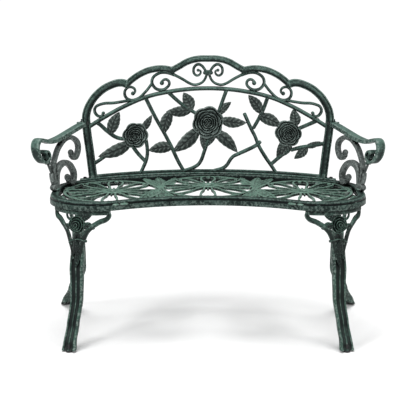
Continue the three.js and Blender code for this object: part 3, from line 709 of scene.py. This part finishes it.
backScrolls = [
    ([(30, 739), (23.5, 736), (25, 727), (33, 722.5), (42, 727), (45.5, 738), (42, 750), (31, 757), (20, 753),
      (12, 744), (6, 734)], [6, 7, 8.5, 9, 8]),
    ([(4, 726), (10, 711), (19, 701), (30, 696), (42, 694), (56, 698), (80, 712), (108, 727)],
     [8, 8, 8.5, 9]),
    ([(104, 724), (134, 733), (158, 729), (174, 712), (170, 692), (150, 680), (128, 687), (121, 702),
      (133, 712), (146, 704)], [9, 9.5, 9.5, 9, 8]),
    ([(175, 700), (196, 674), (222, 654), (246, 654), (258, 670), (252, 688), (236, 691), (226, 679),
      (233, 669)], [9, 9, 9, 8, 7]),
    ([(238, 652), (288, 646), (330, 644), (346, 634), (343, 615), (329, 608), (321, 618)], [9, 9, 9, 7]),
]
scrollKnobs = [(31, 739, 5), (144, 701, 7), (233, 672, 6.5), (322, 617, 5.5)]
scrollBars = []
for turnOver in (list, flip):
    scrollBars += [drawBar(turnOver(points), widths, 5.5, "ridged") for points, widths in backScrolls]
    scrollBars += [drawKnob(*turnOver([(x, z)])[0], r, 6.5) for x, z, r in scrollKnobs]
scrollBars += [drawBar([(-5, 731), (5, 731)], [17], 7, "cushion"),
               drawKnob(-10, 731, 6, 7.5), drawKnob(10, 731, 6, 7.5)]
finishPiece("back_scrolls", scrollBars, onBack, framePaint, "backrest")

vineStems = [
    [(-194, 656), (-164, 595), (-134, 541), (-115, 504), (-93, 457), (-76, 428)],
    [(-76, 428), (-40, 441), (-26, 453), (-12, 487), (4, 534)],
    [(-122, 670), (-79, 632), (-40, 607)],
    [(58, 678), (44, 640), (32, 606)],
    [(20, 428), (53, 440), (78, 472), (95, 481), (122, 494), (150, 509), (164, 521)],
    [(114, 606), (136, 558), (147, 537), (158, 510), (177, 478), (199, 447), (212, 428)],
    [(186, 659), (169, 612), (142, 562)],
    [(340, 598), (310, 582), (276, 565)],
    [(356, 528), (321, 518), (287, 510), (258, 500)],
    [(250, 500), (222, 476), (197, 453)],
    [(-344, 592), (-332, 583), (-311, 562), (-280, 539), (-250, 533)],
    [(-240, 520), (-222, 492), (-196, 462)],
    [(-198, 544), (-190, 505), (-191, 473), (-202, 444), (-210, 428)],
    [(-358, 462), (-336, 474), (-308, 492)],
]
stemBars = [drawBar(points, [12, 11, 12, 11], 5.5, "ridged") for points in vineStems]
finishPiece("vine_stems", stemBars, onBack, framePaint, "backrest")

vineLeaves = [
    ((-52, 616), (-77, 671), 30), ((-50, 620), (-132, 612), 27), ((-118, 612), (-140, 542), 29),
    ((-30, 558), (-110, 488), 34), ((-112, 503), (-186, 495), 29), ((-20, 542), (-12, 490), 18),
    ((24, 540), (-8, 500), 17), ((20, 550), (93, 486), 30), ((40, 586), (121, 578), 27),
    ((32, 602), (73, 642), 20), ((166, 610), (126, 664), 27), ((160, 600), (229, 571), 30),
    ((270, 574), (264, 626), 27), ((306, 515), (267, 474), 21), ((303, 514), (346, 533), 15),
    ((232, 526), (214, 474), 18), ((256, 523), (225, 477), 28), ((-300, 554), (-274, 618), 29),
    ((-210, 556), (-175, 604), 19), ((-240, 522), (-338, 486), 31),
]
vineLeaf = {"spread": 1.26, "forward": 0.5, "curl": 0.05}
leafParts = [drawLeaf(base, tip, width * vineLeaf["spread"], vineLeaf["forward"],
                      vineLeaf["curl"] if i % 2 else -vineLeaf["curl"])
             for i, (base, tip, width) in enumerate(vineLeaves)]
finishPiece("vine_leaves", leafParts, onBack, leafPaint, "backrest")

for name, x, z, radius, turned in (("rose_middle", 0, 578, 49, 0.3), ("rose_right", 249, 551, 40, 1.1),
                                   ("rose_left", -226, 543, 39, 2.0)):
    bloom = drawRose(x, z, radius, -1, roseMaster, turned, 0.85)
    finishPiece(name, [bloom], onBack, rosePaint, "backrest", smooth=60)
print("backrest done")

armRail = [(-14, 590), (24, 583), (78, 572), (137, 562), (180, 561), (204, 568), (226, 572), (242, 562),
           (249, 542), (243, 520), (225, 508), (206, 513), (198, 527), (206, 538), (218, 533)]
armScrolls = [
    ([(186, 440), (181, 481), (160, 511), (124, 543), (80, 558), (40, 548), (25, 526), (34, 502), (52, 494),
      (68, 504)], [10, 11, 12, 15, 16, 14], 7.5),
    ([(180, 424), (172, 450), (158, 474), (132, 487), (100, 486), (72, 466), (62, 442), (74, 426), (96, 430)],
     [14, 16, 18, 19, 16], 8.5),
]
for hand, mirrored in (("left", False), ("right", True)):
    node = f"arm_{hand}"
    rail = drawBar(armRail, [14, 13, 12, 9, 8, 7, 7], 13, "cushion", steps=7)
    finishPiece(f"{node}_rail", [rail], onArm, framePaint, node, mirrored)
    parts = [drawBar(points, widths, depth, "cushion", steps=6) for points, widths, depth in armScrolls]
    parts += [drawKnob(68, 512, 10, 8.5), drawKnob(102, 442, 11.5, 9.5)]
    parts += [drawBar([(186, 455), (196, 480), (206, 512)], [7, 7], 4, "round"),
              drawBar([(184, 428), (196, 448), (193, 470)], [16, 12, 5], 7, "ridged", 1),
              drawBar([(170, 428), (187, 432), (204, 428)], [14, 18, 14], 8, "cushion")]
    finishPiece(f"{node}_scrolls", parts, onArm, scrollPaint, node, mirrored)
    bud = [drawBar([(203, 500), (206, 518), (208, 536)], [10, 20, 5], 10, "round"),
           drawLeaf((200, 504), (198, 532), 12, 6), drawLeaf((206, 504), (214, 530), 12, 6)]
    finishPiece(f"{node}_bud", bud, onArm, framePaint, node, mirrored)
    footX, footY = armShape["base"]
    foot = [drawBlock((footX - 11, footY - 15, seatTop + 0.3), (footX + 11, footY + 15, seatTop + 6), 1.8)]
    finishPiece(f"{node}_foot", foot, onSeat, framePaint, node, mirrored)
    lugs = [drawBlock((-14, 7, -12), (13, 12, 11), 1.5), drawBlock((-28, -8, -10), (-13, 12, 3.5), 1.5)]
    finishPiece(f"{node}_lug", lugs, atLeftJoint, framePaint, node, mirrored)
print("arms done")

legParts = {
    "outerWing": [(-87, 391), (-87, 376), (-58, 362), (-38, 341), (-31, 314), (-26, 283), (-22, 252)],
    "innerWing": [(87, 391), (90, 376), (63, 362), (34, 341), (17, 314), (6, 283), (0, 252)],
    "column": [(-8, 304), (-11, 262), (-11, 222), (-7, 184), (-3, 147), (-2, 108), (-3, 69), (-2, 36),
               (0, 5)],
    "columnWidths": [36, 44, 45, 42, 39, 37, 37, 38, 44],
    "span": 94,
}


def legPattern(points, hand):
    return [(s * hand, z) for s, z in points]  # drawn for the front left leg, whose outer side is negative


for key, (place, shape, side) in legPlaces.items():
    node = f"leg_{key}"
    hand = 1 if key in ("front_left", "rear_right") else -1
    bandPoints = [(s, legTop - 6.5) for s in np.linspace(-legParts["span"], legParts["span"], 7)]
    band = drawBar(bandPoints, [13], 4.5, "cushion", -0.5, roundEnds=False)
    columnPoints = legPattern(legParts["column"], hand)
    column = drawBar(columnPoints, legParts["columnWidths"], 9, "legFace", -6, steps=6, roundEnds=False)
    wings = [drawBar(legPattern(legParts[wing], hand), [13, 15, 15, 13, 9], 4.6, "ridged")
             for wing in ("outerWing", "innerWing")]
    lugs = [drawDrum(*screwPlace(place, end), 10, legTop - 5, legTop) for end in (-1, 1)]
    finishPiece(f"{node}_bracket", [band, *wings], place, legPaint, node)
    finishPiece(f"{node}_column", [column], place, legPaint, node)
    finishPiece(f"{node}_lugs", lugs, onSeat, legPaint, node)
    bars = [([(0, 338), (-2, 318), (-6, 292)], [22, 28, 30], 3.2, "cushion", -1.5),
            ([(-30, 299), (-12, 309), (4, 311), (24, 306)], [8, 7, 8], 5, "ridged", 1),
            ([(-16, 366), (-32, 372), (-37, 384)], [7, 6], 3, "round", 0),
            ([(-2, 330), (-9, 312), (-7, 296)], [7, 7], 3, "round", 3)]
    bars = [drawBar(legPattern(points, hand), *rest) for points, *rest in bars]
    leaves = [((18, 354), (54, 345), 24, 0, 0.05), ((10, 368), (44, 386), 22, 0, 0.05),
              ((-18, 346), (-42, 352), 18, 0, 0.05), ((-8, 306), (-20, 262), 17, 4, 0.06),
              ((-6, 304), (5, 266), 15, 3.5, -0.06), ((-9, 276), (-10, 226), 15, 3, 0.04)]
    leaves = [drawLeaf(*legPattern([base, tip], hand), width, up, curl * hand)
              for base, tip, width, up, curl in leaves]
    finishPiece(f"{node}_leaves", [*bars, *leaves], place, legPaint, node)
    bud = drawRose(0, 354, 25, -1, budMaster, 0.4 * hand, 0.8)
    finishPiece(f"{node}_rose", [bud], place, budPaint, node, smooth=60)

    low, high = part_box(f"glide_{key}")
    gx, gy = (low[0] + high[0]) / 2 / mm, (low[1] + high[1]) / 2 / mm - shiftY
    pad = [drawDrum(gx, gy, 9.5, 0, 4.7, 1.3, 40), drawDrum(gx, gy, 4, 4.4, 21, 0.5, 20)]
    glide = finishPiece(f"glide_{key}_pad", pad, onSeat, plastic, f"glide_{key}")
print("legs done")

for spare in [leafMaster, roseMaster, budMaster, *sectionCurves.values()]:
    bpy.data.objects.remove(spare, do_unlink=True)

studio = {"floor": 2000, "paper": 0.88, "sky": 0.38, "sun": 2.55, "sunSize": 26,
          "window": 55, "fill": 22, "lampSize": 1.2}
bpy.ops.mesh.primitive_plane_add(size=studio["floor"], location=(0, 20, 0))
floor = bpy.context.object
bpy.ops.object.transform_apply(location=True)
floor.name = "floor"
paper = bpy.data.materials.new("paper")
paper.use_nodes = True
paper.node_tree.nodes["Principled BSDF"].inputs["Base Color"].default_value = (studio["paper"],) * 3 + (1,)
paper.node_tree.nodes["Principled BSDF"].inputs["Roughness"].default_value = 1
paper.node_tree.nodes["Principled BSDF"].inputs["Specular IOR Level"].default_value = 0
floor.data.materials.append(paper)

world = bpy.data.worlds.new("studio")
bpy.context.scene.world = world
world.use_nodes = True
world.node_tree.nodes["Background"].inputs["Color"].default_value = (1, 1, 1, 1)
world.node_tree.nodes["Background"].inputs["Strength"].default_value = studio["sky"]


def addLight(kind, name, place, aim, energy, size):
    bpy.ops.object.light_add(type=kind, location=place)
    light = bpy.context.object
    light.name = name
    light.rotation_euler = (Vector(aim) - Vector(place)).to_track_quat("-Z", "Y").to_euler()
    light.data.energy = energy
    if kind == "SUN":
        light.data.angle = math.radians(size)
    else:
        light.data.size = size
    return light


addLight("SUN", "overhead", (0, 0.3, 4), (0, 0.1, 0), studio["sun"], studio["sunSize"])
addLight("AREA", "window", (-2.4, -2.6, 2.6), (0, 0, 0.5), studio["window"], studio["lampSize"])
addLight("AREA", "fill", (2.6, -2.4, 1.8), (0, 0, 0.45), studio["fill"], studio["lampSize"])

eye = {"place": (0, -3.465, 1.118), "tilt": 77.6, "lens": 103, "sensor": 36}
bpy.ops.object.camera_add(location=eye["place"], rotation=(math.radians(eye["tilt"]), 0, 0))
camera = bpy.context.object
camera.data.lens = eye["lens"]
camera.data.sensor_width = eye["sensor"]
camera.data.clip_end = studio["floor"]
bpy.context.scene.camera = camera
bpy.context.scene.view_settings.view_transform = "Standard"
print("studio ready")
